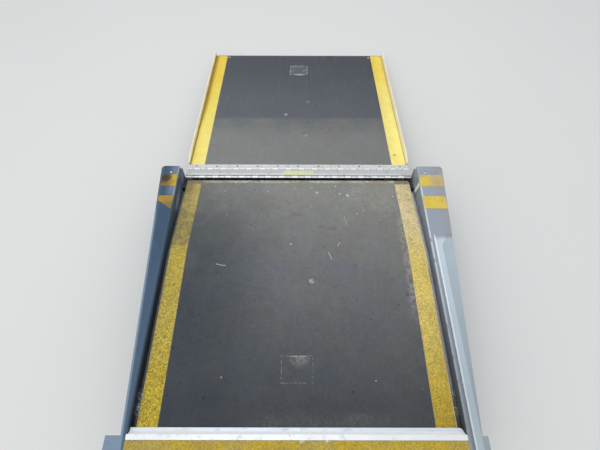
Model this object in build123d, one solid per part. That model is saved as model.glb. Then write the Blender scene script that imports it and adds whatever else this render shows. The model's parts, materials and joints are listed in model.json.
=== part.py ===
from build123d import *
import os

os.makedirs("parts", exist_ok=True)

# A manual fold-out wheelchair ramp with the floor well it folds into.
# X runs along the sill, +Y points out of the doorway, +Z is up. All sizes are in mm.
# The origin is the middle of the four flange holes, on the flange's top face.

# Fastening holes
hole_r = 4.5
hole_from_wall = 25          # out from the well's side walls
hole_from_sill = 26.25       # back from the sill face, in the side flanges
hole_from_near_wall = 44     # in the near flange

# Flap
ramp_half = 400              # outer face of a kerb, from the centre line
flap_length = 838            # outer hinge axis to the tip
floor_t = 3                  # floor covering on the underside
core_t = 14
grip_t = 1                   # anti-slip sheets and tapes
axis_rise = 4                # hinge axis above the walking surface
seam = 1                     # between sheets laid side by side
ramp_slope = 7               # degrees below level when folded out
kerb_t = 4
kerb_rise = 24               # above the walking surface
kerb_start = 30              # from the outer hinge axis
kerb_corner_r = 9
heel_run = 40                # the kerb's top slopes down to the hinge
heel_drop = 13
bevel_run = 30
nose_t = 8.5
nose_r = 2.8
tape_width = 50
tape_end = 12                # bare metal left at the very tip
flap_tape_gap = 3            # kerb to tape

# Handle near the tip
handle_from_tip = 154
window = 84
window_gap = 0.3
cup_wall = 2
cup_rim = 8
cup_rim_t = 1.5
cup_proud = 1                # cup bottom above the walking surface
cup_corner_r = 9
ring_w = 60
ring_l = 46
ring_bar = 8
ring_t = 5
ring_outer_r = 12
ring_inner_r = 4
ring_edge = 0.8
ring_gap = 1                 # ring to the cup's wall
ring_depth = 3               # ring below the cup's rim
saddle_w = 26
saddle_l = 12

# Hinges
link_pitch = 44              # between the two hinge axes
knuckle_r = 4.75
knuckle_sides = 24           # so many knuckles that each has few faces
bore_r = 2.5                 # to the flats
bore_sides = 8
pin_r = 2.42
knuckle_count = 34           # along each row, taken in turn by the two sides
knuckle_gap = 0.6
leaf_t = 2.5
leaf_width = 28              # from the axis to the free edge
sill_leaf_t = 3
sill_leaf_drop = 34          # below the axis
link_top = 3.4               # above the axis line
link_t = 4.6
link_web_inset = 0.8
bead_from_axis = 16          # raised bead on the link, from the fixed hinge's axis
bead_width = 3
bead_rise = 1.2
groove_from_axis = 10
groove_width = 2.5
groove_depth = 1
turn_gap = 1.2               # what a turning knuckle clears on the other side

# Well
side_gap = 5                 # kerb to wall, and kerb to panel
sheet = 3
pan_fold_r = 5               # flange to wall
channel_foot_r = 4           # wall to channel floor
fold_gap = 6                 # stowed walking surface to the inner one
tip_gap = 6                  # stowed tip to the nosing
kerb_gap = 6                 # stowed kerb to the channel floor
bend_from_sill = 314         # where the inner panel starts to fall
panel_end_gap = 5.3          # panel's far edge to the sill face
end_drop = 4                 # walking surface below the fixed hinge axis
panel_tape_gap = 1.5
channel_lip = 11             # channel floor that runs in under the panel
near_flange_width = 66
near_flange_side = 22        # beyond its holes
left_flange = (11, 60)       # width at the near end and at the door
right_flange = (34, 86)
flange_corner_r = 12
ledge_drop = 18              # nosing ledge below the flange
ledge_width = 18
ledge_edge_r = 2
ledge_heel = 9.5             # slope between the drop and the ledge
ledge_end_r = 11             # rounded right end
nosing_lip = 10
nosing_lip_t = 1.5
nosing_t = 3
nosing_lip_edge_r = 1
nosing_corner_r = 2
band_width = 50
nosing_gap = 2               # to the side pans
band_inset = 0.5
rib_count = 5
rib_from_edge = 71           # panel's long edge to the middle of the outer ribs
rib_width = 30
rib_end_gap = 8
rail_width = 40
rail_depth = 25
rail_places = (86, 476)      # from the near wall
beam_width = 40
beam_depth = 44
cheek_t = 4
cheek_reach = 26             # beyond the sill face
cheek_back = 40
cheek_top = 30               # below the flange
cheek_corner_r = 18
patch = 50
patch_rows = (88, 178)       # sill face to the near edges of the yellow squares
patch_inset = 1
patch_right_width = 86
patch_cut = (42, 30)         # corner cut off the left side's nearer square

# Worked out from the sizes above
flap_t = floor_t + core_t + grip_t
axis_depth = flap_t + axis_rise          # underside of the flap to its hinge axis
metal_z = -axis_rise - grip_t            # flap's metal face, from its hinge axis
hinge_z = -axis_depth - link_pitch
ramp_inner_half = ramp_half - kerb_t
well_half = ramp_half + side_gap
band_half = well_half - nosing_gap
panel_half = ramp_inner_half - side_gap
pan_run = flap_length + tip_gap + nosing_t - knuckle_r       # near wall to the sill face
hole_x = well_half + hole_from_wall
hole_y = (pan_run + hole_from_near_wall - hole_from_sill) / 2
sill_face_y = hole_y + hole_from_sill
hinge_y = sill_face_y + knuckle_r
stowed_tip_y = hinge_y - flap_length
lip_edge_y = stowed_tip_y - tip_gap
near_wall_y = lip_edge_y - nosing_t
panel_z = -flap_t - fold_gap - grip_t
bend_y = sill_face_y - bend_from_sill
panel_end_y = sill_face_y - panel_end_gap
panel_end_z = hinge_z - end_drop - grip_t
far_fall = (panel_z - panel_end_z) / (panel_end_y - bend_y)
channel_z = -axis_depth + axis_rise - kerb_rise - kerb_gap
fold_depth = panel_z - channel_z
beam_back_y = sill_face_y - beam_width
hinge_half = ramp_half - knuckle_gap
flap_hinge = Pos(0, hinge_y, hinge_z) * Rot(-ramp_slope, 0, 0)
flap_place = flap_hinge * Pos(0, link_pitch, 0)
bevel_y = flap_length - bevel_run
bevel_fall = (flap_t - grip_t - nose_t) / bevel_run
plate_edge = knuckle_r + turn_gap        # where a leaf starts, from its axis
core_start = plate_edge + seam


def panel_line(y):
    """Height of the inner panel's metal face at a place along it."""
    return panel_z - max(0, y - bend_y) * far_fall


def along_x(section, x0, x1):
    """A section in Y and Z, drawn out from x0 to x1."""
    return extrude(Plane.YZ.offset(x0) * section, x1 - x0, dir=(1, 0, 0))


def outline(*points):
    return Polygon(*points, align=None)


def strip(line, t):
    """A section of thickness t that lies on a line of (y, z) points."""
    return outline(*line, *[(y, z + t) for y, z in reversed(line)])


def panel_points(y0, y1, drop=0):
    """The inner panel's line between two places, with its bend where that lies between."""
    stops = [y0] + [bend_y] * (y0 < bend_y < y1) + [y1]
    return [(y, panel_line(y) - drop) for y in stops]


def flap_points(y0, y1):
    """The flap's metal face between two places, with the start of its bevel."""
    stops = [y0] + [bevel_y] * (y0 < bevel_y < y1) + [y1]
    return [(y, metal_z - max(0, y - bevel_y) * bevel_fall) for y in stops]


def save(shape, node):
    export_step(shape, f"parts/{node}.step")


# Hinge knuckles
knuckle_pitch = 2 * hinge_half / knuckle_count


def knuckle_row(first, y, z, web):
    """Every second knuckle of a row, each with the web that joins it to its leaf."""
    bore = RegularPolygon(bore_r, bore_sides, major_radius=False)
    ring = Pos(y, z) * (RegularPolygon(knuckle_r, knuckle_sides) + web - bore)
    starts = [-hinge_half + i * knuckle_pitch for i in range(first, knuckle_count, 2)]
    return [
        along_x(ring, x + knuckle_gap / 2, x + knuckle_pitch - knuckle_gap / 2)
        for x in starts
    ]


def pin(y, z):
    return along_x(Pos(y, z) * Circle(pin_r), -hinge_half, hinge_half)


# Link plate: a bar with a bead, a groove and a row of knuckles along each edge
plate_width = link_pitch - 2 * plate_edge
link_section = Pos(link_pitch / 2, link_top - link_t / 2) * Rectangle(plate_width, link_t)
link_section += Pos(bead_from_axis, link_top) * Ellipse(bead_width / 2, bead_rise)
link_section -= Pos(groove_from_axis, link_top) * Rectangle(groove_width, 2 * groove_depth)
link_plate = along_x(link_section, -ramp_half, ramp_half)
web_z = link_top - link_t / 2
web_t = link_t - 2 * link_web_inset
web = Rectangle(core_start, web_t, align=(Align.MIN, Align.CENTER))
inner_knuckles = knuckle_row(0, 0, 0, Pos(0, web_z) * web)
outer_knuckles = knuckle_row(1, link_pitch, 0, Pos(0, web_z) * Rot(0, 0, 180) * web)
link_plate = link_plate.fuse(*inner_knuckles, *outer_knuckles)
save(flap_hinge * link_plate, "link_plate")
save(flap_hinge * pin(link_pitch, 0), "outer_hinge_pin")
save(Pos(0, hinge_y, hinge_z) * pin(0, 0), "sill_hinge_pin")

# Sill leaf: hangs down the sill's outer face
leaf_top = -plate_edge
sill_section = outline(
    (-knuckle_r, -sill_leaf_drop), (-knuckle_r + sill_leaf_t, -sill_leaf_drop),
    (-knuckle_r + sill_leaf_t, leaf_top), (-knuckle_r, leaf_top),
)
sill_web = outline(
    (-knuckle_r, leaf_top - seam), (-knuckle_r + sill_leaf_t, leaf_top - seam),
    (-knuckle_r + sill_leaf_t, 0), (-knuckle_r, 0),
)
sill_leaf = along_x(sill_section, -ramp_half, ramp_half)
sill_leaf = sill_leaf.fuse(*knuckle_row(1, 0, 0, sill_web))
save(Pos(0, hinge_y, hinge_z) * sill_leaf, "sill_hinge_leaf")

# Flap leaf: lies on the flap's metal face
leaf_section = outline(
    (plate_edge, metal_z), (leaf_width, metal_z),
    (leaf_width, metal_z + leaf_t), (plate_edge, metal_z + leaf_t),
)
leaf_web = outline(
    (0, metal_z + leaf_t / 5), (core_start, metal_z),
    (core_start, metal_z + leaf_t), (0, metal_z + leaf_t),
)
flap_leaf = along_x(leaf_section, -ramp_half, ramp_half)
flap_leaf = flap_leaf.fuse(*knuckle_row(0, 0, 0, leaf_web))
save(flap_place * flap_leaf, "flap_hinge_leaf")

# Flap core with the window for the handle cup
handle_y = flap_length - handle_from_tip
window_hole = Pos(0, handle_y, -axis_depth) * extrude(
    RectangleRounded(window, window, cup_corner_r), 2 * axis_depth
)
core_z = metal_z - core_t
core_section = outline(
    (core_start, core_z), (bevel_y, core_z), (bevel_y, metal_z), (core_start, metal_z)
)
flap_core = along_x(core_section, -ramp_inner_half, ramp_inner_half) - window_hole
save(flap_place * flap_core, "flap_core")

# Floor covering, which is uppermost when the flap is folded in
floor_section = outline(
    (core_start, -axis_depth), (bevel_y, -axis_depth), (bevel_y, core_z), (core_start, core_z)
)
flap_floor = along_x(floor_section, -ramp_inner_half, ramp_inner_half) - window_hole
save(flap_place * flap_floor, "flap_floor")

# Tip: a wedge that runs out to the nose
nose_z = -axis_depth + nose_t
tip_section = outline(
    (bevel_y, -axis_depth), (flap_length, -axis_depth), (flap_length, nose_z), (bevel_y, metal_z)
)
tip_section = fillet(tip_section.vertices().group_by(Axis.X)[-1], nose_r)
flap_tip = along_x(tip_section, -ramp_inner_half, ramp_inner_half)
save(flap_place * flap_tip, "flap_tip")

# Anti-slip sheet and tapes on the walking surface
tape_outer = ramp_inner_half - flap_tape_gap
tape_inner = tape_outer - tape_width
walk = flap_points(leaf_width + seam, flap_length - tape_end)
grip_half = tape_inner - seam
flap_grip = along_x(strip(walk, grip_t), -grip_half, grip_half) - window_hole
save(flap_place * flap_grip, "flap_grip")
save(flap_place * along_x(strip(walk, grip_t), -tape_outer, -tape_inner), "flap_tape_left")
save(flap_place * along_x(strip(walk, grip_t), tape_inner, tape_outer), "flap_tape_right")

# Kerbs: flat bars on edge, rounded at the tip, the top sloping down at the heel
kerb_end = flap_length + tip_gap - ledge_width - kerb_gap
kerb_z = -axis_rise + kerb_rise
kerb_section = outline(
    (kerb_start, -axis_depth), (kerb_end, -axis_depth), (kerb_end, kerb_z),
    (kerb_start + heel_run, kerb_z), (kerb_start, kerb_z - heel_drop),
)
kerb_ends = kerb_section.vertices().group_by(Axis.X)
kerb_corners = [kerb_ends[0].sort_by(Axis.Y)[-1], kerb_ends[-1].sort_by(Axis.Y)[-1]]
kerb_section = fillet(kerb_corners, kerb_corner_r)
kerb = along_x(kerb_section, ramp_inner_half, ramp_half)
save(flap_place * kerb, "kerb_right")
save(flap_place * mirror(kerb, Plane.YZ), "kerb_left")

# Handle cup: pressed tray with a rim on the underside, its bottom just proud on top
cup_half = window / 2 - window_gap
cup_top = -axis_rise + cup_proud
cup_height = cup_top + axis_depth
outer_size = 2 * cup_half
cup = extrude(RectangleRounded(outer_size, outer_size, cup_corner_r), cup_height)
rim_size = outer_size + 2 * cup_rim
cup += Pos(0, 0, -cup_rim_t) * extrude(
    RectangleRounded(rim_size, rim_size, cup_corner_r + cup_rim), cup_rim_t
)
inner_size = outer_size - 2 * cup_wall
cup -= Pos(0, 0, -cup_rim_t) * extrude(
    RectangleRounded(inner_size, inner_size, cup_corner_r - cup_wall),
    cup_height - cup_wall + cup_rim_t,
)
saddle_y = inner_size / 2 - saddle_l / 2
saddle_base = ring_depth + ring_t
saddle = Pos(0, saddle_y, saddle_base) * extrude(
    Rectangle(saddle_w, saddle_l), cup_height - cup_wall - saddle_base
)
cup += saddle
save(flap_place * Pos(0, handle_y, -axis_depth) * cup, "handle_cup")

# Handle ring: lies flat in the cup, one bar on the saddle
ring = RectangleRounded(ring_w, ring_l, ring_outer_r)
ring -= RectangleRounded(ring_w - 2 * ring_bar, ring_l - 2 * ring_bar, ring_inner_r)
ring_y = inner_size / 2 - ring_gap - ring_l / 2
handle_ring = Pos(0, ring_y, ring_depth) * extrude(ring, ring_t)
handle_ring = chamfer(handle_ring.faces().sort_by(Axis.Z)[0].edges(), ring_edge)
save(flap_place * Pos(0, handle_y, -axis_depth) * handle_ring, "handle_ring")

# Inner panel: a bent sheet with its long edges folded down to the channel floor
sheet_section = strip(panel_points(near_wall_y, panel_end_y, sheet), sheet)
inner_panel = along_x(sheet_section, -panel_half, panel_half)
fold_section = strip(panel_points(near_wall_y, beam_back_y, fold_depth), fold_depth)
for x in (-panel_half, panel_half - sheet):
    inner_panel += along_x(fold_section, x, x + sheet)
save(inner_panel, "inner_panel")

# Anti-slip sheet and tapes on the inner panel
panel_tape_outer = panel_half - panel_tape_gap
panel_tape_inner = panel_tape_outer - tape_width
ledge_edge_y = lip_edge_y + ledge_width
inner_walk = strip(panel_points(ledge_edge_y, panel_end_y), grip_t)
inner_grip_half = panel_tape_inner - seam
save(along_x(inner_walk, -inner_grip_half, inner_grip_half), "inner_grip")
save(along_x(inner_walk, -panel_tape_outer, -panel_tape_inner), "inner_tape_left")
save(along_x(inner_walk, panel_tape_inner, panel_tape_outer), "inner_tape_right")

# Ribs under the panel: channels open to the sheet above
rib_depth = fold_depth
rib_front = near_wall_y + rib_end_gap
rib_outer = strip(panel_points(rib_front, beam_back_y, rib_depth + sheet), rib_depth)
rib_inner = strip(panel_points(rib_front, beam_back_y, rib_depth), rib_depth)
rib_span = panel_half - rib_from_edge
rib_pitch = 2 * rib_span / (rib_count - 1)
ribs = []
for i in range(rib_count):
    rib_x = -rib_span + i * rib_pitch
    rib = along_x(rib_outer, rib_x - rib_width / 2, rib_x + rib_width / 2)
    hollow = rib_width / 2 - sheet
    rib -= along_x(rib_inner, rib_x - hollow, rib_x + hollow)
    ribs.append(rib)
save(Compound(ribs), "panel_ribs")

# Cross rails under the ribs
rails = []
for from_wall in rail_places:
    rail_y = near_wall_y + from_wall
    rail_top = panel_line(rail_y) - fold_depth - sheet
    rail_section = Pos(rail_y, rail_top - rail_depth / 2) * Rectangle(rail_width, rail_depth)
    rail_section -= Pos(rail_y, rail_top - rail_depth / 2 - sheet) * Rectangle(
        rail_width - 2 * sheet, rail_depth
    )
    rails.append(along_x(rail_section, -well_half - sheet, well_half + sheet))
save(Compound(rails), "cross_rails")

# Sill beam: closed tube whose top follows the panel
beam_base = panel_end_z - sheet - beam_depth
beam_section = outline(
    (beam_back_y, beam_base), (sill_face_y, beam_base),
    (sill_face_y, panel_line(sill_face_y) - sheet), (beam_back_y, panel_line(beam_back_y) - sheet),
)
beam_bore = outline(
    (beam_back_y + sheet, beam_base + sheet), (sill_face_y - sheet, beam_base + sheet),
    (sill_face_y - sheet, panel_line(sill_face_y) - 2 * sheet),
    (beam_back_y + sheet, panel_line(beam_back_y) - 2 * sheet),
)
save(along_x(beam_section - beam_bore, -well_half, well_half), "sill_beam")


# Side pans: flange, wall and channel floor in one folded sheet
def flange_edge(widths, y):
    """How far out a side flange reaches at a place along it."""
    near, door = widths
    share = (y - near_wall_y) / pan_run
    return well_half + near + (door - near) * share


def inner_edges(pan):
    """The long edges in the plane of the wall's inner face, from the foot up."""
    near_plane = pan.edges().filter_by_position(Axis.X, well_half - seam, well_half + seam)
    return near_plane.filter_by(lambda edge: edge.length > bend_from_sill / 2).sort_by(Axis.Z)


def side_pan(widths):
    near_x = flange_edge(widths, near_wall_y)
    door_x = flange_edge(widths, sill_face_y)
    flange = outline(
        (well_half, near_wall_y), (near_x, near_wall_y), (door_x, sill_face_y), (well_half, sill_face_y)
    )
    flange = fillet(flange.vertices().group_by(Axis.Y)[-1].sort_by(Axis.X)[-1], flange_corner_r)
    pan = Pos(0, 0, -sheet) * extrude(flange, sheet)
    under = panel_points(near_wall_y, beam_back_y, fold_depth + sheet)
    wall = outline(
        *under, (beam_back_y, beam_base), (sill_face_y, beam_base), (sill_face_y, 0), (near_wall_y, 0)
    )
    pan += along_x(wall, well_half, well_half + sheet)
    floor = strip(under, sheet)
    pan += along_x(floor, panel_half - channel_lip, well_half + sheet)
    pan -= Pos(hole_x, hole_y, -sheet) * extrude(Circle(hole_r), sheet)
    pan = fillet(inner_edges(pan)[-1], pan_fold_r)
    return fillet(inner_edges(pan)[:2], channel_foot_r)


save(side_pan(right_flange), "side_pan_right")
save(mirror(side_pan(left_flange), Plane.YZ), "side_pan_left")

# Near pan: flange and end wall
near_edge_y = near_wall_y - sheet - near_flange_width
near_flange = Rectangle(
    2 * (hole_x + near_flange_side), near_wall_y - near_edge_y, align=(Align.CENTER, Align.MIN)
)
near_flange = Pos(0, near_edge_y) * near_flange
near_flange = fillet(near_flange.vertices().group_by(Axis.Y)[0], flange_corner_r)
near_pan = Pos(0, 0, -sheet) * extrude(near_flange, sheet)
near_wall = outline(
    (near_wall_y - sheet, channel_z - sheet), (near_wall_y, channel_z - sheet),
    (near_wall_y, 0), (near_wall_y - sheet, 0),
)
near_pan += along_x(near_wall, -well_half - sheet, well_half + sheet)
for x in (-hole_x, hole_x):
    near_pan -= Pos(x, -hole_y, -sheet) * extrude(Circle(hole_r), sheet)
save(near_pan, "near_pan")

# Nosing: lip on the flange, drop, ledge for the flap's tip, and a foot on the panel
ledge_z = -ledge_drop
lip_start_y = near_wall_y - nosing_lip
nosing_section = outline(
    (lip_start_y, 0), (near_wall_y, 0), (near_wall_y, ledge_z - nosing_t),
    (ledge_edge_y - nosing_t, ledge_z - nosing_t), (ledge_edge_y - nosing_t, panel_z),
    (ledge_edge_y, panel_z), (ledge_edge_y, ledge_z), (lip_edge_y + ledge_heel, ledge_z),
    (lip_edge_y, ledge_z + ledge_heel), (lip_edge_y, nosing_lip_t), (lip_start_y, nosing_lip_t),
)
lip_edge = nosing_section.vertices().group_by(Axis.Y)[-1].sort_by(Axis.X)[-1]
nosing_section = fillet(lip_edge, nosing_lip_edge_r)
ledge_edge = nosing_section.vertices().group_by(Axis.X)[-1].sort_by(Axis.Y)[-1]
nosing_section = fillet(ledge_edge, ledge_edge_r)
nosing_plan = Pos(0, ledge_edge_y) * Rectangle(
    2 * band_half, ledge_edge_y - lip_start_y, align=(Align.CENTER, Align.MAX)
)
near_corners = nosing_plan.vertices().group_by(Axis.Y)[0]
nosing_plan = fillet(near_corners, nosing_corner_r)
right_corner = nosing_plan.vertices().group_by(Axis.Y)[-1].sort_by(Axis.X)[-1]
nosing_plan = fillet(right_corner, ledge_end_r)
nosing_block = Pos(0, 0, panel_z) * extrude(nosing_plan, nosing_lip_t - panel_z)
save(along_x(nosing_section, -band_half, band_half) & nosing_block, "nosing")

# Yellow band on the near flange
band_top = lip_start_y - band_inset
band = Pos(0, band_top) * Rectangle(2 * band_half, band_width, align=(Align.CENTER, Align.MAX))
save(extrude(band, grip_t), "near_band")


# Yellow squares on the side flanges
def patches(widths, reach, cuts):
    made = []
    for from_sill, cut in zip(patch_rows, cuts):
        y = sill_face_y - from_sill
        x0 = well_half + patch_inset
        x1 = min(x0 + reach, flange_edge(widths, y) - patch_inset)
        corner = [(x1 - cut[0], y), (x1, y + cut[1])] if cut else [(x1, y)]
        square = outline((x0, y), *corner, (x1, y + patch), (x0, y + patch))
        made.append(extrude(square, grip_t))
    return Compound(made)


left_patches = patches(left_flange, patch, (None, patch_cut))
save(mirror(left_patches, Plane.YZ), "flange_patch_left")
save(patches(right_flange, patch_right_width, (None, None)), "flange_patch_right")

# Cheeks: plates on the outside of the walls that close the ends of the hinge
cheek_section = outline(
    (sill_face_y - cheek_back, beam_base), (sill_face_y + cheek_reach, beam_base),
    (sill_face_y + cheek_reach, -cheek_top), (sill_face_y - cheek_back, -cheek_top),
)
cheek_section = fillet(
    cheek_section.vertices().group_by(Axis.X)[-1].sort_by(Axis.Y)[-1], cheek_corner_r
)
cheek = along_x(cheek_section, well_half + sheet, well_half + sheet + cheek_t)
save(cheek, "hinge_cheek_right")
save(mirror(cheek, Plane.YZ), "hinge_cheek_left")
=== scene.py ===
"""Dresses the fold-out wheelchair ramp: its finishes, fasteners and welds, and the studio round it."""

import functools
import json
import math

import bmesh
import bpy
from bpy.props import FloatProperty, FloatVectorProperty, IntProperty, PointerProperty
from mathutils import Matrix, Vector


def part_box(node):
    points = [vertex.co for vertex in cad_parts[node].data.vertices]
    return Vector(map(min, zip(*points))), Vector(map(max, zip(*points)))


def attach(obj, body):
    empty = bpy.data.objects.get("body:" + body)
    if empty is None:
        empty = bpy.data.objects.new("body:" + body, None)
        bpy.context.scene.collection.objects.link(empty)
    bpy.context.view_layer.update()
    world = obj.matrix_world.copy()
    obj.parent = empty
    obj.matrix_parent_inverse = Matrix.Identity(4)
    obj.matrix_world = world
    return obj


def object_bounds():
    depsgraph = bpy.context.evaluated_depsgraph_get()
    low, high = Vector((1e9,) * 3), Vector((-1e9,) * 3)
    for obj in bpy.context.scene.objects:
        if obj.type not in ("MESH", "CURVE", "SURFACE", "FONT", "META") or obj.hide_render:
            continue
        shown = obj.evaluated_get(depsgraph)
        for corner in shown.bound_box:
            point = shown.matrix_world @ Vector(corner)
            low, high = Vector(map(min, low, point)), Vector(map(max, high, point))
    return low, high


bl_info = {
    "name": "Fold-out ramp dressing",
    "version": (1, 0, 0),
    "blender": (4, 5, 0),
    "location": "View3D > Sidebar > Ramp",
    "description": "Finishes, fasteners and studio for a fold-out wheelchair ramp and its floor well",
    "category": "Object",
}

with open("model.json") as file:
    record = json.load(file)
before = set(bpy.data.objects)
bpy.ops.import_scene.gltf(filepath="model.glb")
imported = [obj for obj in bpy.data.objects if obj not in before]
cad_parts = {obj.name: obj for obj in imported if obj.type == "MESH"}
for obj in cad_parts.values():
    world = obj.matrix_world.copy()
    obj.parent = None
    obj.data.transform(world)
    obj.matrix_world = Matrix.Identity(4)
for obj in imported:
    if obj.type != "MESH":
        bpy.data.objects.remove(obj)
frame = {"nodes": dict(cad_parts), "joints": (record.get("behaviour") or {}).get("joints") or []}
cad_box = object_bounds()

# Places taken from the frame, in metres
hinges = {joint["name"]: Vector(joint["pos_m"]) for joint in frame["joints"]}
SILL_HINGE = hinges["sill_hinge"]
FLAP_HINGE = hinges["flap_hinge"]
SLOPE = math.atan2(SILL_HINGE.z - FLAP_HINGE.z, FLAP_HINGE.y - SILL_HINGE.y)
FLAT_ON_FLAP = (-SLOPE, 0, 0)
LINK_PITCH = (FLAP_HINGE - SILL_HINGE).length
WELL_NEAR, WELL_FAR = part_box("inner_grip")
PAN_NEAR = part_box("side_pan_right")[0]
WELL_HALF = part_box("sill_beam")[1].x
KERB_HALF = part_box("kerb_right")[1].x
GRIP_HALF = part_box("flap_grip")[1].x
SILL_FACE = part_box("sill_beam")[1].y
PANEL_BEND = SILL_FACE - 0.314
KNUCKLES = 34
KNUCKLE_PITCH = (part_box("link_plate")[1].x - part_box("link_plate")[0].x) / KNUCKLES
CUP_CENTRE = (0.5 * sum(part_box("handle_cup"), Vector()) - FLAP_HINGE).yz.length
FLOOR_LEVEL = cad_box[0][2]
MM = 0.001

# Places of the fasteners and welds that the frame doesn't give
TIP_SCREWS_APART = 666 * MM
TIP_SCREW_LINE = 800 * MM
RIM_RIVET_PITCH = 30 * MM
RIM_RIVET_LINE = 45.7 * MM
RAIL_HALF = 20 * MM
RIBS = 5
RIB_PITCH = 160 * MM
RIB_SIDE = 15 * MM
RIB_LEVEL = -28 * MM
PANEL_SLOPE = 0.148
FLAT_WELDS = -340 * MM
SLOPE_WELDS = 180 * MM
ANY_TURN = 6.0


def chip(red, green, blue):
    """A colour as a paint chart gives it, 0 to 255, turned to Blender's linear scale."""
    shares = [c / 255 for c in (red, green, blue)]
    return tuple(c / 12.92 if c <= 0.04045 else ((c + 0.055) / 1.055) ** 2.4 for c in shares)


def paint(name, description, *shade):
    """A colour that the user can change, given as a paint chart gives it."""
    return FloatVectorProperty(
        name=name, description=description, subtype="COLOR", size=3, min=0, max=1, default=chip(*shade)
    )


def length(name, description, millimetres):
    """A length that the user can change."""
    return FloatProperty(
        name=name, description=description, subtype="DISTANCE", unit="LENGTH", min=0,
        default=millimetres * MM
    )


def angle(name, description, degrees):
    """An angle that the user can change."""
    return FloatProperty(
        name=name, description=description, subtype="ANGLE", default=math.radians(degrees)
    )


def watts(name, description, power):
    """A lamp's power that the user can change."""
    return FloatProperty(
        name=name, description=description, subtype="POWER", unit="POWER", min=0, default=power
    )


class RampColours(bpy.types.PropertyGroup):
    """Colours of the ramp's finishes."""

    # The sheet's tones rise from near to far partly as dust and partly as painted light from the
    # doorway.
    sheet_near: paint("Sheet, near end", "Anti-slip sheet by the nosing", 72, 76, 82)
    sheet_middle: paint("Sheet, middle", "Anti-slip sheet halfway", 112, 115, 119)
    sheet_far: paint("Sheet, door end", "Dusty sheet by the sill", 142, 144, 139)
    flap_hinge_end: paint("Flap, hinge end", "Dusty sheet on the flap", 131, 134, 133)
    flap_tip_end: paint("Flap, tip end", "Cleaner sheet at the tip", 82, 86, 92)
    tape_faded: paint("Faded tape", "Tape that the sun has faded", 226, 206, 128)
    flap_tape: paint("Flap tape", "Cleaner tape on the flap", 254, 227, 98)
    tape_dirt: paint("Tape dirt", "Dirt ground into the tape", 132, 112, 66)
    tape_worn: paint("Worn tape", "Grey wear on the tape", 134, 124, 98)
    # The left flange's dark navy is partly painted shade, and the right flange's pale paints are partly
    # painted reflection.
    pan_left: paint("Pan paint, left", "Paint of the left flange", 52, 78, 104)
    pan_right: paint("Pan paint, right", "Paint of the right flange", 155, 164, 177)
    pan_pale: paint("Worn pan paint", "Chalky paint out on the right", 196, 210, 219)
    wall_left: paint("Left wall", "Paint down in the left channel", 38, 48, 63)
    # The right wall's paint is made lighter as painted light.
    wall_right: paint("Right wall", "Paint down in the right channel", 136, 150, 164)
    channel_dirt: paint("Channel dirt", "Grit in the channels", 150, 140, 122)
    aluminium: paint("Aluminium", "Mill-finish aluminium", 206, 210, 212)
    nosing: paint("Nosing", "Polished nosing", 226, 229, 231)
    knuckles: paint("Knuckles", "Knuckles rubbed bright", 240, 243, 244)
    grime: paint("Grime", "Grime on bare metal", 118, 110, 100)
    primer: paint("Primer", "Frame primer", 46, 49, 52)
    rust: paint("Rust", "Rust on the frame", 112, 62, 34)
    vinyl: paint("Floor vinyl", "Floor covering under the flap", 92, 102, 112)
    cup: paint("Cup paint", "Paint of the handle cup", 84, 88, 94)
    dust: paint("Dust", "Pale dust", 176, 170, 154)
    steel: paint("Steel", "Bare steel of pins and screws", 170, 172, 174)


class RampSizes(bpy.types.PropertyGroup):
    """Sizes of what is set on the ramp."""

    leaf_screws: IntProperty(name="Leaf screws", description="Screws along the flap's leaf", default=11)
    leaf_screw_pitch: length("Leaf screw pitch", "Between the flap leaf's screws", 74)
    leaf_screw_line: length("Leaf screw line", "From the hinge axis", 18)
    leaf_screw_radius: length("Leaf screw radius", "Radius of a screw's head", 3.6)
    sill_screws: IntProperty(name="Sill screws", description="Screws along the sill's leaf", default=9)
    sill_screw_pitch: length("Sill screw pitch", "Between the sill leaf's screws", 90)
    tip_screw_radius: length("Tip screw radius", "Radius of the tip's screws", 4.5)
    weld_length: length("Weld length", "Length of one weld stitch", 28)
    weld_pitch: length("Weld pitch", "Between weld stitches", 130)
    weld_width: length("Weld width", "Width of a weld bead", 5)


class StudioSettings(bpy.types.PropertyGroup):
    """The studio: floor, lamps and camera."""

    floor: paint("Floor", "Pale floor", 236, 236, 234)
    ambient: FloatProperty(name="Ambient", description="Strength of the world's light", default=0.74)
    door_lamp: watts("Door lamp", "Soft box over the doorway", 18)
    side_lamp: watts("Side lamp", "Soft box behind on the left", 10)
    camera_place: FloatVectorProperty(
        name="Camera place", description="Where the camera stands", subtype="TRANSLATION", unit="LENGTH",
        default=(0.00553, -0.56046, 1.14866),
    )
    camera_down: angle("Camera down", "Below level", 56.02)
    camera_right: angle("Camera right", "Turned to the right", 0.087)
    camera_roll: angle("Camera roll", "Tilted to the left", 0.211)
    lens: FloatProperty(name="Lens", description="Focal length in millimetres", default=26.687)


def maths(operation, reflected=False):
    """A method of Field that adds a Math node. Reflected, the other value comes first."""

    def method(self, *others):
        values = (*others, self) if reflected else (self, *others)
        return self.tree.node("ShaderNodeMath", {"operation": operation}, dict(enumerate(values)))

    return method


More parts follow.
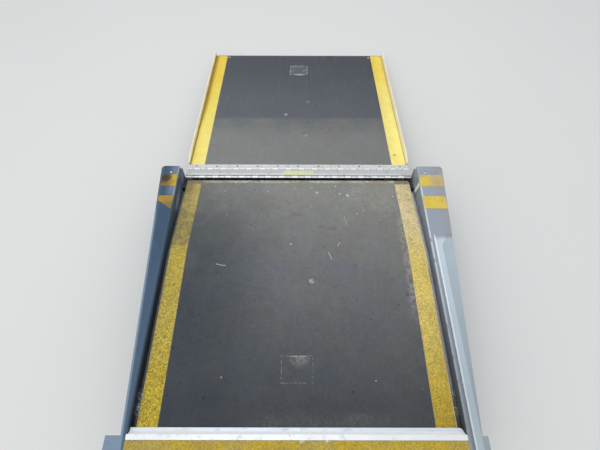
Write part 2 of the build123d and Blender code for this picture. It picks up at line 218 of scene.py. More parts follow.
class Field:
    """One output of a node tree. Python's operators on it add Math nodes."""

    def __init__(self, tree, socket):
        self.tree = tree
        self.socket = socket

    def output(self, name):
        return Field(self.tree, self.socket.node.outputs[name])

    __add__ = maths("ADD")
    __radd__ = maths("ADD", reflected=True)
    __sub__ = maths("SUBTRACT")
    __rsub__ = maths("SUBTRACT", reflected=True)
    __mul__ = maths("MULTIPLY")
    __rmul__ = maths("MULTIPLY", reflected=True)
    __truediv__ = maths("DIVIDE")
    __rtruediv__ = maths("DIVIDE", reflected=True)
    __pow__ = maths("POWER")
    __abs__ = maths("ABSOLUTE")
    __gt__ = maths("GREATER_THAN")
    part = maths("FRACT")
    least = maths("MINIMUM")
    most = maths("MAXIMUM")

    def rise(self, low, high):
        """0 below low, 1 above high and a smooth step between; falls where low is the larger."""
        settings = {"interpolation_type": "SMOOTHSTEP", "clamp": True}
        return self.tree.node("ShaderNodeMapRange", settings, {"Value": self, 1: low, 2: high})


class Tree:
    """A node tree in the making."""

    def __init__(self, tree):
        self.tree = tree

    def node(self, kind, settings=None, sockets=None, out=0):
        """Adds a node: its settings first, then the values or links of its sockets."""
        made = self.tree.nodes.new(kind)
        for name, value in (settings or {}).items():
            if name == "stops":
                self.set_stops(made.color_ramp, value)
            else:
                setattr(made, name, value)
        for name, value in (sockets or {}).items():
            socket = made.inputs[name]
            if isinstance(value, Field):
                self.tree.links.new(value.socket, socket)
            elif socket.type == "RGBA" and len(value) == 3:
                socket.default_value = (*value, 1)
            else:
                socket.default_value = value
        return Field(self, made.outputs[out]) if len(made.outputs) else None

    @staticmethod
    def set_stops(ramp, stops):
        while len(ramp.elements) < len(stops):
            ramp.elements.new(1)
        for element, (position, colour) in zip(ramp.elements, stops):
            element.position = position
            element.color = (*colour, 1)


class Finish(Tree):
    """A material in the making, with its pattern in the object's own coordinates.

    tone is its colour so far.
    """

    def __init__(self, name):
        self.material = bpy.data.materials.new(name)
        self.material.use_nodes = True
        super().__init__(self.material.node_tree)
        self.tree.nodes.clear()
        self.place = self.node("ShaderNodeTexCoord", out="Object")
        self.tone = None

    def on_ramp(self, hinge):
        """Coordinates that start at a hinge axis and run down the sloping flap."""
        sockets = {"Vector": self.place, "Location": hinge, "Rotation": (-SLOPE, 0, 0)}
        self.place = self.node("ShaderNodeMapping", {"vector_type": "TEXTURE"}, sockets)
        return self

    def axes(self):
        split = self.node("ShaderNodeSeparateXYZ", sockets={0: self.place})
        return split, split.output("Y"), split.output("Z")

    def facing(self, axis):
        """How far the surface faces along an axis, from -1 to 1."""
        normal = self.node("ShaderNodeTexCoord", out="Normal")
        return self.node("ShaderNodeSeparateXYZ", sockets={0: normal}, out=axis)

    def noise(self, scale, detail=2, roughness=0.5, stretch=None, shift=0):
        place = self.place
        if stretch or shift:
            sockets = {"Vector": place, "Scale": stretch or (1, 1, 1), "Location": (shift, shift, 0)}
            place = self.node("ShaderNodeMapping", sockets=sockets)
        sockets = {"Vector": place, "Scale": scale, "Detail": detail, "Roughness": roughness}
        return self.node("ShaderNodeTexNoise", sockets=sockets)

    def specks(self, scale, size, share, shift=0):
        """Scattered specks: a mask with a dot in some cells of a grid."""
        sockets = {"Vector": self.place, "Location": (shift, shift, 0)}
        place = self.node("ShaderNodeMapping", sockets=sockets)
        cell = self.node("ShaderNodeTexVoronoi", sockets={"Vector": place, "Scale": scale})
        pick = self.node("ShaderNodeSeparateXYZ", sockets={0: cell.output("Color")})
        return cell.rise(size * scale, size * scale * 0.4) * (pick > 1 - share)

    def blend(self, first, second, share):
        sockets = {0: share, 6: first, 7: second}
        return self.node("ShaderNodeMix", {"data_type": "RGBA"}, sockets, out=2)

    def shaded(self, colour, factor):
        """A colour made lighter or darker by a factor that changes over the surface."""
        return self.node("ShaderNodeVectorMath", {"operation": "SCALE"}, {0: colour, "Scale": factor})

    def lay(self, colour, share):
        """Lays a colour over the tone."""
        self.tone = self.blend(self.tone, colour, share)

    def shade(self, factor):
        self.tone = self.shaded(self.tone, factor)

    def ramp(self, value, *stops):
        return self.node("ShaderNodeValToRGB", {"stops": stops}, {0: value})

    def done(self, roughness, metallic=0.0, height=None, depth=0.0, shine=0.5):
        """Joins the tone to the surface: height moves it in and out by up to depth metres."""
        sockets = {"Base Color": self.tone, "Roughness": roughness, "Metallic": metallic,
                   "Specular IOR Level": shine}
        if height is not None:
            bump = {"Height": height, "Distance": depth, "Strength": 1.0}
            sockets["Normal"] = self.node("ShaderNodeBump", sockets=bump)
        surface = self.node("ShaderNodeBsdfPrincipled", sockets=sockets)
        self.node("ShaderNodeOutputMaterial", sockets={"Surface": surface})
        return self.material


def distance(across, along):
    """How far a place is from a mark, over the surface."""
    return (across * across + along * along) ** 0.5


def spot(x, y, centre, radius):
    """A soft round mark."""
    return distance(x - centre[0], y - centre[1]).rise(radius, radius * 0.3)


def stroke(x, y, start, end, width):
    """A thin straight mark between two places."""
    run, climb = end[0] - start[0], end[1] - start[1]
    across, along = x - start[0], y - start[1]
    share = ((across * run + along * climb) / (run * run + climb * climb)).most(0).least(1)
    return distance(across - share * run, along - share * climb).rise(width, width * 0.5)


def frame_line(x, y, centre, half, width):
    """The outline of a rectangle."""
    beyond = (abs(x - centre[0]) - half[0]).most(abs(y - centre[1]) - half[1])
    return abs(beyond).rise(width, width * 0.4)


def strongest(*masks):
    """Masks joined to one, each place as strong as the strongest."""
    return functools.reduce(Field.most, masks)


def spots(x, y, marks):
    """Soft round marks, each given as its centre and radius."""
    return strongest(*(spot(x, y, *mark) for mark in marks))


def strokes(x, y, marks):
    """Thin straight marks, each given as its start, end and width."""
    return strongest(*(stroke(x, y, *mark) for mark in marks))


# Marks of wear on the well's sheet, in metres from the origin
CUP_PRINT = ((0.0, -0.224), (0.0415, 0.035), 0.0014)
RUBBED_LINE = ((-0.022, -0.190), (0.021, -0.190), 0.0020)
SMEAR = ((0.006, -0.194), 0.034)
STRAWS = (((-0.2445, 0.0885), (-0.229, 0.0845), 0.0013), ((-0.229, 0.0845), (-0.216, 0.083), 0.0013),
          ((0.094, 0.129), (0.104, 0.105), 0.0013), ((0.123, 0.153), (0.130, 0.167), 0.0013))
SCRATCHES = (((0.151, 0.280), (0.155, 0.262), 0.0011), ((0.155, 0.262), (0.158, 0.240), 0.0011))
PALE_SPOT = ((0.041, 0.032), 0.011)
DUSTY_SPOTS = (((0.285, 0.330), 0.060), ((0.215, 0.385), 0.070))
CHIPS = (((0.065, 0.390), 0.0058), ((0.129, 0.420), 0.0040), ((0.169, 0.376), 0.0078),
         ((-0.104, 0.394), 0.0032), ((-0.021, 0.161), 0.0038), ((-0.196, -0.245), 0.0024),
         ((0.203, -0.253), 0.0023))
SMUDGES = (((-0.016, 0.287), (-0.002, 0.284), 0.011), ((0.070, 0.231), (0.076, 0.229), 0.009),
           ((0.098, 0.225), (0.116, 0.224), 0.008))

# Marks on the flap, from its hinge
PALE_MARK = ((-0.052, 0.340), 0.0100)
FAINT_MARKS = (((0.040, 0.430), 0.014), ((0.030, 0.201), 0.012))
TRACKS = ((0.07, 0.25), 0.11)
TAPE_STAIN = ((0.360, 0.085), 0.006)

# Marks on the band, the squares and the pans
BARE_BY_NOSING = (((0.0123, -0.3960), 0.0085), ((0.0709, -0.3960), 0.0060))
MUD = ((-0.446, 0.403), 0.028)
RUBBLE = (((0.400, -0.318), 0.022), ((0.401, -0.285), 0.018))
GLINT = ((0.3985, -0.060), (0.385, -0.006), 0.0090)
FLANGE_STRAW = ((0.478, 0.224), (0.490, 0.222), 0.0022)
TAPE_END = chip(150, 142, 126)


def well_sheet(colours):
    """Dark anti-slip sheet of the inner panel: dust and painted light towards the door, painted shade
    down its left.
    """
    f = Finish("well_sheet")
    x, y, _ = f.axes()
    along = (y - WELL_NEAR.y) / (WELL_FAR.y - WELL_NEAR.y)
    # From near to far the sheet lightens: partly dust, partly painted light from the doorway.
    f.tone = f.ramp(along, (0.06, colours.sheet_near), (0.52, colours.sheet_middle),
                    (1, colours.sheet_far))
    brown = f.ramp(along, (0.06, chip(80, 80, 80)), (0.52, chip(119, 117, 113)),
                   (1, chip(150, 146, 136)))
    drift = (f.noise(8, 5, 0.75, shift=8) + 0.25 * x).rise(0.36, 0.64)
    f.lay(brown, drift * 0.5)
    mottle = f.noise(9, 4, 0.55)
    # Painted shade down the left of the sheet, darker and bluer, fading out towards the door.
    left_shade = (x + 0.05 * mottle).rise(0.03, -0.32) * y.rise(0.60, 0.08)
    left_shade = left_shade * (0.45 + 0.55 * y.rise(-0.34, -0.05))
    f.shade(1 - 0.55 * left_shade)
    f.lay(chip(74, 84, 94), left_shade * 0.35)
    grain = f.noise(1100, 1)
    smears = f.noise(16, 3, 0.6, stretch=(2.2, 0.8, 1), shift=3)
    f.shade(0.385 + 0.28 * mottle + 0.18 * smears + 0.40 * f.noise(150, 2) + 0.23 * f.noise(42, 3)
            + 0.20 * grain)
    trodden = f.noise(7, 5, 0.7, shift=3).rise(0.50, 0.74) * along.rise(0.35, 1.0)
    f.lay(colours.dust, trodden * 0.22)
    patchy = f.noise(95, 4, 0.7).rise(0.40, 0.62)
    by_tape = x.rise(0.312, 0.330) * y.rise(-0.12, -0.02) * y.rise(0.36, 0.24)
    f.lay(colours.dust, by_tape * patchy * 0.65)
    cloud = f.noise(14, 4, 0.7, shift=6).rise(0.42, 0.62)
    by_nosing = y.rise(-0.322, -0.352) * x.rise(-0.20, 0.0) * x.rise(0.29, 0.19) * (0.3 + 0.7 * cloud)
    dusty = f.noise(230, 3, 0.7).rise(0.46, 0.62)
    f.lay(chip(150, 150, 134), by_nosing * (0.12 + 0.34 * dusty))
    by_sill = (y + 0.010 * f.noise(50, 4, 0.8)).rise(0.4415, 0.4450)
    by_sill = by_sill * f.noise(24, 3, 0.7, shift=2).rise(0.3, 0.5)
    sandy = f.noise(16, 3, 0.7, shift=9).rise(0.4, 0.6)
    f.lay(f.blend(chip(206, 204, 196), chip(186, 172, 138), sandy), by_sill * (0.35 + 0.6 * patchy))
    f.lay(chip(216, 214, 204), well_marks(f, x, y, along))
    smudges = strokes(x, y, SMUDGES) * f.noise(90, 3, 0.7).rise(0.30, 0.55)
    f.shade(1 - 0.35 * f.specks(34, 0.0052, 0.30, shift=2).most(smudges * 0.5))
    return f.done(0.72 + 0.2 * grain, height=grain, depth=0.0007, shine=0.2)


def well_marks(f, x, y, along):
    """Pale marks on the well's sheet: the cup's print, straws, scratches, chips and dust."""
    smear = spot(x, y, *SMEAR) * y.rise(-0.187, -0.194)
    splash = f.noise(130, 3, 0.7).rise(0.42, 0.60)
    dusty_end = along.rise(0.62, 1) * (0.3 + 0.7 * x.rise(-0.1, 0.15))
    return strongest(
        frame_line(x, y, *CUP_PRINT) * f.noise(120, 3, 0.7).rise(0.46, 0.60) * 0.34,
        stroke(x, y, *RUBBED_LINE) * f.noise(200, 2).rise(0.38, 0.52) * 0.55,
        smear * f.noise(80, 3).rise(0.3, 0.6) * 0.20,
        spot(x, y, *PALE_SPOT) * (0.12 + 0.60 * splash),
        spots(x, y, DUSTY_SPOTS) * f.noise(60, 4, 0.7).rise(0.36, 0.60) * 0.12,
        strokes(x, y, SCRATCHES) * 0.45,
        strokes(x, y, STRAWS) * 0.75,
        spots(x, y, CHIPS) * 0.9,
        f.specks(28, 0.0017, 0.20) * (0.15 + 0.6 * along),
        f.specks(70, 0.0026, 0.30, shift=1) * dusty_end * 0.6,
        f.specks(40, 0.0048, 0.42, shift=4) * dusty_end * 0.9,
    )


def flap_sheet(colours):
    """Dark anti-slip sheet of the flap."""
    f = Finish("flap_sheet").on_ramp(FLAP_HINGE)
    x, y, _ = f.axes()
    mottle = f.noise(8, 4, 0.6)
    dusty = (y + 0.014 * mottle).rise(0.336, 0.306)
    clean = f.blend(chip(99, 103, 109), colours.flap_tip_end, y.rise(0.30, 0.80))
    dusty_colour = f.blend(chip(112, 115, 117), colours.flap_hinge_end, y.rise(0.32, 0.16))
    f.tone = f.blend(clean, dusty_colour, dusty)
    grain = f.noise(1100, 1)
    warm = f.noise(11, 4, 0.7, shift=9).rise(0.42, 0.62)
    f.lay(chip(136, 131, 122), warm * dusty.rise(0, 1) * 0.4)
    mottled = 0.60 + 0.2 * mottle + 0.18 * f.noise(60, 3) + 0.26 * f.noise(150, 2) + 0.18 * grain
    f.shade((1 - 0.20 * x) * mottled)
    scrapes = f.noise(4, 3, stretch=(24, 2, 1)).rise(0.56, 0.76) * dusty.rise(1, 0)
    f.lay(chip(122, 126, 136), scrapes * 0.24)
    f.lay(chip(206, 208, 208), strongest(
        spot(x, y, *PALE_MARK) * 0.55,
        spot(x, y, *FAINT_MARKS[0]) * 0.16,
        spot(x, y, *FAINT_MARKS[1]) * 0.22,
        f.specks(26, 0.0020, 0.14) * 0.3,
    ))
    tracks = f.noise(34, 4, 0.7, shift=5).rise(0.56, 0.68) * spot(x, y, *TRACKS)
    f.shade(1 - 0.28 * tracks)
    return f.done(0.66 + 0.2 * grain, height=grain, depth=0.0006, shine=0.2)


def tape(name, colours, base, dirt, grain, on_flap=False, worn=None):
    """Anti-slip tape: gritty, dirt in its grain. base paints it, worn says where it is rubbed grey."""
    f = Finish(name)
    if on_flap:
        f.on_ramp(FLAP_HINGE)
    x, y, _ = f.axes()
    base(f, colours, x, y)
    grit = f.noise(420, 2, 0.6)
    blotches = f.noise(13, 4, 0.65, shift=2)
    ground_in = f.noise(240, 3, 0.7).rise(0.42, 0.62) * (0.45 + 0.8 * blotches.rise(0.35, 0.65))
    salt = f.noise(185, 4, 1.0, shift=7).rise(0.32, 0.68)
    coarse = grain * (1.3 - 0.5 * y.rise(-0.2, 0.25)) * (salt - 0.5)
    f.shade(0.80 + 0.24 * f.noise(30, 3) + coarse + 0.10 * grit)
    f.lay(colours.tape_dirt, ground_in * dirt)
    if worn:
        share = worn(f, x, y) * (0.38 + 0.62 * f.noise(44, 4, 0.75).rise(0.40, 0.58))
        rubbed = f.shaded(colours.tape_worn, 0.36 + 0.5 * f.noise(130, 3, 0.7) + 0.6 * salt)
        f.lay(rubbed, share)
    return f.done(0.75 + 0.15 * grit, height=grit, depth=0.0008, shine=0.25)


def end_strip(f, y):
    """Where a tape stops short of the sill and grey, dusty metal shows."""
    return (y + 0.008 * f.noise(60, 4, 0.8)).rise(0.4340, 0.4385)


def left_tape(f, colours, x, y):
    yellow = f.blend(chip(200, 176, 60), chip(199, 178, 81), y.rise(-0.3, -0.1))
    f.tone = f.blend(yellow, colours.tape_faded, y.rise(PANEL_BEND - 0.01, 0.40) * 0.6)
    f.lay(TAPE_END, end_strip(f, y))


def right_tape(f, colours, x, y):
    f.tone = f.blend(chip(192, 162, 40), chip(236, 212, 118), y.rise(-0.42, 0.02))
    f.lay(chip(242, 222, 172), y.rise(0.06, 0.30))
    f.lay(TAPE_END, end_strip(f, y))


def left_worn(f, x, y):
    """Rubbed grey beyond the bend, less so on the inner half near the door."""
    zone = (y + 0.11 * f.noise(50, 4, 0.75)).rise(PANEL_BEND + 0.055, PANEL_BEND + 0.072)
    inner_half = (x + 0.012 * f.noise(40, 3, 0.7)).rise(-0.366, -0.350)
    kept = 0.6 * y.rise(0.24, 0.36) * (0.25 + 0.75 * inner_half)
    return zone * (0.80 - kept) * (1 - end_strip(f, y))


def right_worn(f, x, y):
    return f.noise(18, 4, 0.7, shift=9).rise(0.56, 0.72) * 0.5


def flap_tape(f, colours, x, y):
    """Paler towards the hinge and on the right, shaded by the kerbs."""
    f.tone = f.blend(chip(252, 218, 84), colours.flap_tape, y.rise(0.75, 0.35))
    on_right = x.rise(0, 0.3)
    outward = x.rise(0.345, 0.392)
    pale = 0.05 + 0.20 * y.rise(0.68, 0.45) + 0.40 * y.rise(0.46, 0.18) + 0.24 * outward
    pale = pale + on_right * (0.02 + 0.32 * y.rise(0.70, 0.45) * y.rise(0.10, 0.42))
    f.lay(chip(255, 242, 148), pale)
    f.shade(1.02 + 0.07 * y.rise(0.45, 0.15) + 0.10 * outward)
    by_kerb = (KERB_HALF - abs(x) + 0.009 * y.rise(0.42, 0.20)).rise(0.025, 0.009)
    shade = f.blend(chip(188, 168, 66), chip(198, 154, 50), y.rise(0.1, 0.5))
    f.lay(shade, by_kerb * (0.95 - 0.8 * on_right))
    f.lay(chip(86, 76, 40), spot(x, y, *TAPE_STAIN) * 0.8)


def near_band(f, colours, x, y):
    """Two yellows in patches, with two bare places by the nosing."""
    patches = f.noise(16, 5, 0.7, shift=4)
    f.tone = f.blend(chip(206, 175, 50), chip(188, 167, 89), patches.rise(0.36, 0.64))
    f.lay(chip(240, 238, 224), spots(x, y, BARE_BY_NOSING))


def flange_squares(f, colours, x, y):
    """Muddy squares on the left flange, dry and dusty ones on the right."""
    cloud = 0.05 * f.noise(26, 4, 0.7)
    muddy = f.blend(chip(212, 178, 62), chip(140, 116, 70), (x + cloud).rise(-0.385, -0.410))
    muddy = f.blend(muddy, chip(184, 150, 60), (y + cloud).rise(0.365, 0.355))
    muddy = f.blend(muddy, chip(140, 124, 80), (y + 0.4 * cloud).rise(0.322, 0.304))
    muddy = f.blend(muddy, chip(56, 48, 34), spot(x, y, *MUD) * 0.9)
    grey = (x + cloud).rise(0.450, 0.490) * y.rise(0.34, 0.38)
    grey = grey.most((y - x * 0.5 + cloud).rise(0.205, 0.235) * 0.8)
    f.tone = f.blend(chip(240, 212, 92), chip(238, 206, 134), (x + cloud * 2).rise(0.50, 0.54))
    f.lay(chip(210, 188, 140), grey)
    f.lay(muddy, x.rise(-0.1, -0.3))


def bare_aluminium(name, colour, grime, amount, roughness=0.42, metallic=0.75, wear=None, hinge=None,
                   dull=None):
    """Mill-finish aluminium: drawn lines along its length, scratches and grime."""
    f = Finish(name)
    if hinge:
        f.on_ramp(hinge)
    x, y, z = f.axes()
    lines = f.noise(1, 3, 0.6, stretch=(12, 900, 900))
    patches = f.noise(14, 4, 0.65)
    f.tone = f.shaded(colour, 0.82 + 0.16 * lines + 0.22 * patches)
    dirty = f.noise(38, 5, 0.75, shift=3).rise(0.50, 0.68)
    f.lay(grime, dirty * amount)
    scratches = f.noise(2, 2, stretch=(40, 6, 6), shift=1).rise(0.66, 0.72)
    f.lay(chip(250, 250, 250), scratches * 0.4)
    if wear:
        wear(f, x, y, z)
    if dull:
        metallic = metallic * (1 - dull(f))
    return f.done(roughness + 0.25 * dirty + 0.1 * lines, metallic, height=lines, depth=0.00005)


def soiled_ends(f, x, share):
    """Dull beige dirt over the ends of the hinge, more on the left."""
    ends = (x + 0.02 * f.noise(40, 3)).rise(-0.345, -0.375).most(x.rise(0.375, 0.398) * 0.7)
    f.lay(chip(170, 164, 140), ends * share)


def knuckle_gaps(f, x, share):
    """Dark lines where one knuckle meets the next."""
    off = KNUCKLE_PITCH * abs((x / KNUCKLE_PITCH + 0.5).part() - 0.5)
    f.lay(chip(70, 68, 64), off.rise(0.0012, 0.0005) * share * 0.6)


def knuckle_shadow(f, bright):
    """Painted shadow, near black, on the side of the knuckles that faces the well."""
    return f.blend(bright, chip(22, 22, 22), f.facing("Y").rise(-0.5, -0.85) * 0.98)


def link_finish(colours):
    """The hinge link: grey plate, knuckles rubbed bright, a worn pale-yellow patch."""
    f = Finish("link_aluminium").on_ramp(SILL_HINGE)
    x, y, _ = f.axes()
    lines = f.noise(1, 3, 0.6, stretch=(10, 1000, 1000))
    f.tone = f.shaded(chip(194, 195, 194), 0.84 + 0.14 * lines + 0.18 * f.noise(16, 4, 0.65))
    # Painted highlight along the top of the bead.
    bead = y.rise(0.0100, 0.0108) * y.rise(0.0160, 0.0150)
    f.lay(chip(226, 230, 231), bead * 0.8)
    # Painted shade in the groove, laid in the grime colour.
    groove = y.rise(0.0062, 0.0066) * y.rise(0.0098, 0.0092)
    f.lay(colours.grime, groove * 0.5)
    dirty = f.noise(45, 5, 0.75, shift=3).rise(0.52, 0.7)
    f.lay(colours.grime, dirty * 0.4)
    sill_side = y.rise(0.0062, 0.0056)
    bright = f.shaded(colours.knuckles, 0.86 + 0.3 * f.noise(60, 4, 0.7, shift=5))
    f.lay(knuckle_shadow(f, bright), sill_side)
    f.lay(chip(226, 229, 230), y.rise(0.0378, 0.0384) * 0.9)
    rows = abs(y - LINK_PITCH / 2).rise(0.015, 0.016)
    knuckle_gaps(f, x, rows)
    patch = x.rise(-0.0555, -0.0530) * x.rise(0.0550, 0.0525)
    patch = patch * y.rise(0.0100, 0.0110) * y.rise(0.0330, 0.0310)
    worn = f.noise(120, 3, 0.7).rise(0.34, 0.56)
    f.lay(chip(232, 234, 168), patch * (0.25 + 0.6 * worn))
    soiled_ends(f, x, 0.45 * sill_side)
    metallic = 0.8 - 0.6 * patch * worn
    return f.done(0.40 + 0.2 * dirty, metallic, height=lines, depth=0.00005)


def leaf_wear(f, x, y, z):
    """The flap leaf's knuckles, with dark lines between them."""
    knuckle = y.rise(0.0062, 0.0056)
    f.lay(chip(214, 217, 218), knuckle * 0.8)
    knuckle_gaps(f, x, knuckle)


def sill_leaf_wear_and_shadow(f, x, y, z):
    """The sill leaf's knuckles, rubbed bright, above a grimy plate, with painted shadow under them."""
    down = z.rise(-0.002, -0.012)
    # Painted shadow, near black, on the upward faces in the pocket under the knuckles.
    shadow_pocket = f.facing("Z").rise(0.5, 0.9) * z.rise(-0.004, -0.005)
    f.lay(chip(28, 28, 27), shadow_pocket * 0.95)
    grimy = down * f.noise(30, 4, 0.7).rise(0.3, 0.6) * (1 - shadow_pocket)
    f.lay(chip(90, 86, 80), grimy * 0.7)
    f.tone = knuckle_shadow(f, f.tone)
    soiled_ends(f, x, 0.6)
    knuckle_gaps(f, x, z.rise(-0.006, -0.004))


def left_flange(f, colours, y, out_of_wall, to_door):
    """Navy paint, partly painted shade, with a painted highlight along the flange's outer edge and
    painted light by the wall near the door.
    """
    inward = 0.011 + 0.049 * (y - PAN_NEAR.y) / (SILL_FACE - PAN_NEAR.y) - out_of_wall
    f.tone = f.blend(colours.pan_left, chip(59, 82, 106), y.rise(0.15, 0.0))
    f.shade(1.20 - 0.18 * to_door)
    f.lay(chip(116, 128, 152), (out_of_wall - 0.006).rise(0.034, 0.0) * y.rise(0.29, 0.36))
    # Painted highlight along the left flange's outer edge.
    f.lay(chip(92, 116, 138), inward.rise(0.012, 0.002) * 0.5)
    f.lay(chip(134, 154, 176), inward.rise(0.0065, 0.0035) * y.rise(0.30, 0.22) * 0.85)


def right_flange(f, colours, x, y, right, out_of_wall, to_door):
    """Pale paint, partly painted reflection, darker along the wall at the near end, with a painted
    highlight line on its outer part.
    """
    line = out_of_wall.rise(0.0070, 0.0110) * y.rise(0.12, -0.10)
    paint_and_reflection = f.blend(colours.pan_right, chip(156, 154, 156), x.rise(0.435, 0.475) * 0.6)
    f.lay(f.shaded(paint_and_reflection, (0.62 + 0.42 * to_door) * (1 - 0.42 * line)), right)
    pale = (out_of_wall + 0.004 * f.noise(70, 3)).rise(0.0130, 0.0142)
    pale = pale * (y + 0.02 * f.noise(20, 4, 0.7)).rise(0.19, 0.17)
    f.lay(f.shaded(colours.pan_pale, 0.75 + 0.38 * to_door), pale * right)
    # A painted highlight: a bright line along the near part of the right flange's outer side.
    second_line = abs(out_of_wall - 0.0147).rise(0.0025, 0.0013) * y.rise(0.19, 0.16)
    f.lay(f.shaded(chip(236, 246, 254), 0.72 + 0.38 * to_door), second_line * right)
    covered = (out_of_wall - 0.016 * y.rise(0.135, 0.175)).rise(0.030, 0.034) * y.rise(0.19, 0.17)
    f.shade(1 - 0.24 * covered * right)


def channel_walls(f, colours, y, z, right, to_door):
    """The walls down in the channels: the right wall lighter as painted light, both lighter towards the
    doorway, the top of the left wall painted lit.
    """
    # Painted light: the right wall lighter than the left, brighter towards the doorway.
    wall_right = f.shaded(colours.wall_right, (0.30 + 0.75 * to_door) * (0.80 + 0.4 * f.noise(14, 4)))
    low = (z + 0.006 * f.noise(40, 3)).rise(-0.042, -0.052)
    wall_right = f.blend(wall_right, chip(178, 184, 184), low * 0.4)
    wall_left = f.blend(colours.wall_left, chip(70, 92, 112), y.rise(0.0, 0.34) * 0.8)
    foot = z.rise(-0.028, -0.040) * y.rise(0.29, 0.33) * f.noise(30, 3).rise(0.30, 0.50)
    wall_left = f.blend(wall_left, chip(150, 162, 178), foot * (0.8 - 0.5 * y.rise(0.350, 0.380)))
    wall_left = f.shaded(wall_left, 0.8 + 0.4 * f.noise(12, 4))
    # Painted light on the top of the left wall, in the flange's blue.
    wall_left = f.blend(wall_left, chip(84, 108, 134), z.rise(-0.024, -0.003) * 0.9)
    return f.blend(wall_left, wall_right, right)


def bright_fold(f, y, z, right, out_of_wall, to_door):
    """The fold between flange and wall, painted pale as a painted highlight."""
    by_door = y.rise(0.26, 0.34)
    left = f.blend(chip(96, 118, 142), chip(164, 172, 178), by_door)
    bright = (0.40 + 0.62 * to_door) * (1 - 0.45 * y.rise(0.370, 0.385))
    fold = abs(out_of_wall - 0.0012).rise(0.0036, 0.0016) * z.rise(-0.0060, -0.0030)
    # Painted highlight on the fold, broken up by noise, strongest on the right and by the door.
    rubbed = f.noise(26, 3).rise(0.28, 0.42) * (0.25 + 0.75 * right.most(by_door))
    f.lay(f.blend(left, f.shaded(chip(226, 232, 246), bright), right), fold * rubbed * 0.9)


def pan_finish(colours):
    """Painted pans: navy on the left, partly painted shade, pale on the right, partly painted
    reflection, dark and gritty down in the channels.
    """
    f = Finish("pan_paint")
    x, y, z = f.axes()
    up = f.facing("Z")
    right = x.rise(-0.05, 0.05)
    # Mostly lighter towards the doorway where it is used: painted light from the doorway.
    to_door = y.rise(-0.42, 0.30)
    out_of_wall = abs(x) - WELL_HALF
    left_flange(f, colours, y, out_of_wall, to_door)
    right_flange(f, colours, x, y, right, out_of_wall, to_door)
    f.shade(0.84 + 0.20 * f.noise(9, 4, 0.6) + 0.12 * f.noise(90, 3))
    scuffs = f.noise(24, 5, 0.75, stretch=(1, 0.5, 1)).rise(0.60, 0.72) * (1 - right)
    f.lay(chip(96, 116, 138), scuffs * 0.5)
    f.lay(chip(190, 198, 204), f.specks(34, 0.0024, 0.10) * 0.5)
    wall = up.rise(0.7, 0.3)
    f.lay(channel_walls(f, colours, y, z, right, to_door), wall)
    bottom = z.rise(-0.030, -0.040)
    floor = up.rise(0.7 - 0.4 * right, 0.9 - 0.3 * right) * bottom
    grit = f.noise(85, 5, 0.8)
    sand = f.blend(colours.channel_dirt, chip(240, 230, 228), right * y.rise(-0.30, -0.25) * 0.9)
    f.lay(f.shaded(sand, (0.35 + 0.9 * grit) * (0.7 + 0.45 * to_door)), floor)
    soil = z.rise(-0.022, -0.046) * f.noise(30, 4, 0.7).rise(0.42, 0.66)
    f.lay(f.shaded(colours.channel_dirt, 0.55), soil * wall * (0.3 + 0.3 * right))
    rubble = spots(abs(x), y, RUBBLE) * f.noise(190, 3, 0.7).rise(0.50, 0.56)
    f.lay(chip(226, 226, 222), rubble * bottom * 0.9)
    glint = stroke(y, z, *GLINT) * right * wall
    f.lay(chip(250, 252, 250), glint * f.noise(120, 3).rise(0.2, 0.4))
    edge = y.rise(SILL_FACE - 0.09, SILL_FACE) * f.noise(22, 4, 0.7, shift=4).rise(0.5, 0.62)
    f.lay(colours.grime, edge * up.rise(0.7, 0.9) * 0.4)
    f.lay(chip(214, 170, 90), stroke(x, y, *FLANGE_STRAW) * 0.8)
    bright_fold(f, y, z, right, out_of_wall, to_door)
    sheen = 0.40 + 0.3 * floor + 0.15 * f.noise(60, 3)
    return f.done(sheen, height=grit * floor, depth=0.0012, shine=0.35)


def primer_finish(colours):
    """Frame steel: dark primer, rusty at edges and in patches."""
    f = Finish("frame_primer")
    patches = f.noise(13, 5, 0.7)
    rusty = f.noise(30, 6, 0.75, shift=2).rise(0.56, 0.66)
    f.tone = f.shaded(colours.primer, 0.7 + 0.6 * patches)
    rust_tone = f.shaded(colours.rust, 0.6 + 0.8 * f.noise(160, 4))
    f.lay(rust_tone, rusty * 0.8)
    f.lay(colours.dust, patches.rise(0.55, 0.75) * 0.25)
    return f.done(0.55 + 0.35 * rusty, 0.15 - 0.1 * rusty, height=rusty + patches, depth=0.0006)


def vinyl_finish(colours):
    """Speckled safety floor on the flap's underside."""
    f = Finish("floor_vinyl").on_ramp(FLAP_HINGE)
    grain = f.noise(900, 2)
    f.tone = f.shaded(colours.vinyl, 0.8 + 0.2 * f.noise(5, 4, 0.6) + 0.18 * grain)
    f.lay(chip(186, 194, 198), f.specks(260, 0.0009, 0.30) * 0.8)
    f.lay(chip(40, 46, 54), f.specks(240, 0.0009, 0.35, shift=1) * 0.8)
    f.lay(chip(60, 92, 140), f.specks(200, 0.0010, 0.12, shift=2) * 0.8)
    scuffs = f.noise(5, 4, 0.7, stretch=(3, 12, 1)).rise(0.58, 0.68)
    f.lay(chip(150, 154, 156), scuffs * 0.25)
    soil = f.noise(8, 5, 0.7, shift=4).rise(0.5, 0.75)
    f.lay(colours.grime, soil * 0.3)
    return f.done(0.5 + 0.2 * grain, height=grain, depth=0.0004)


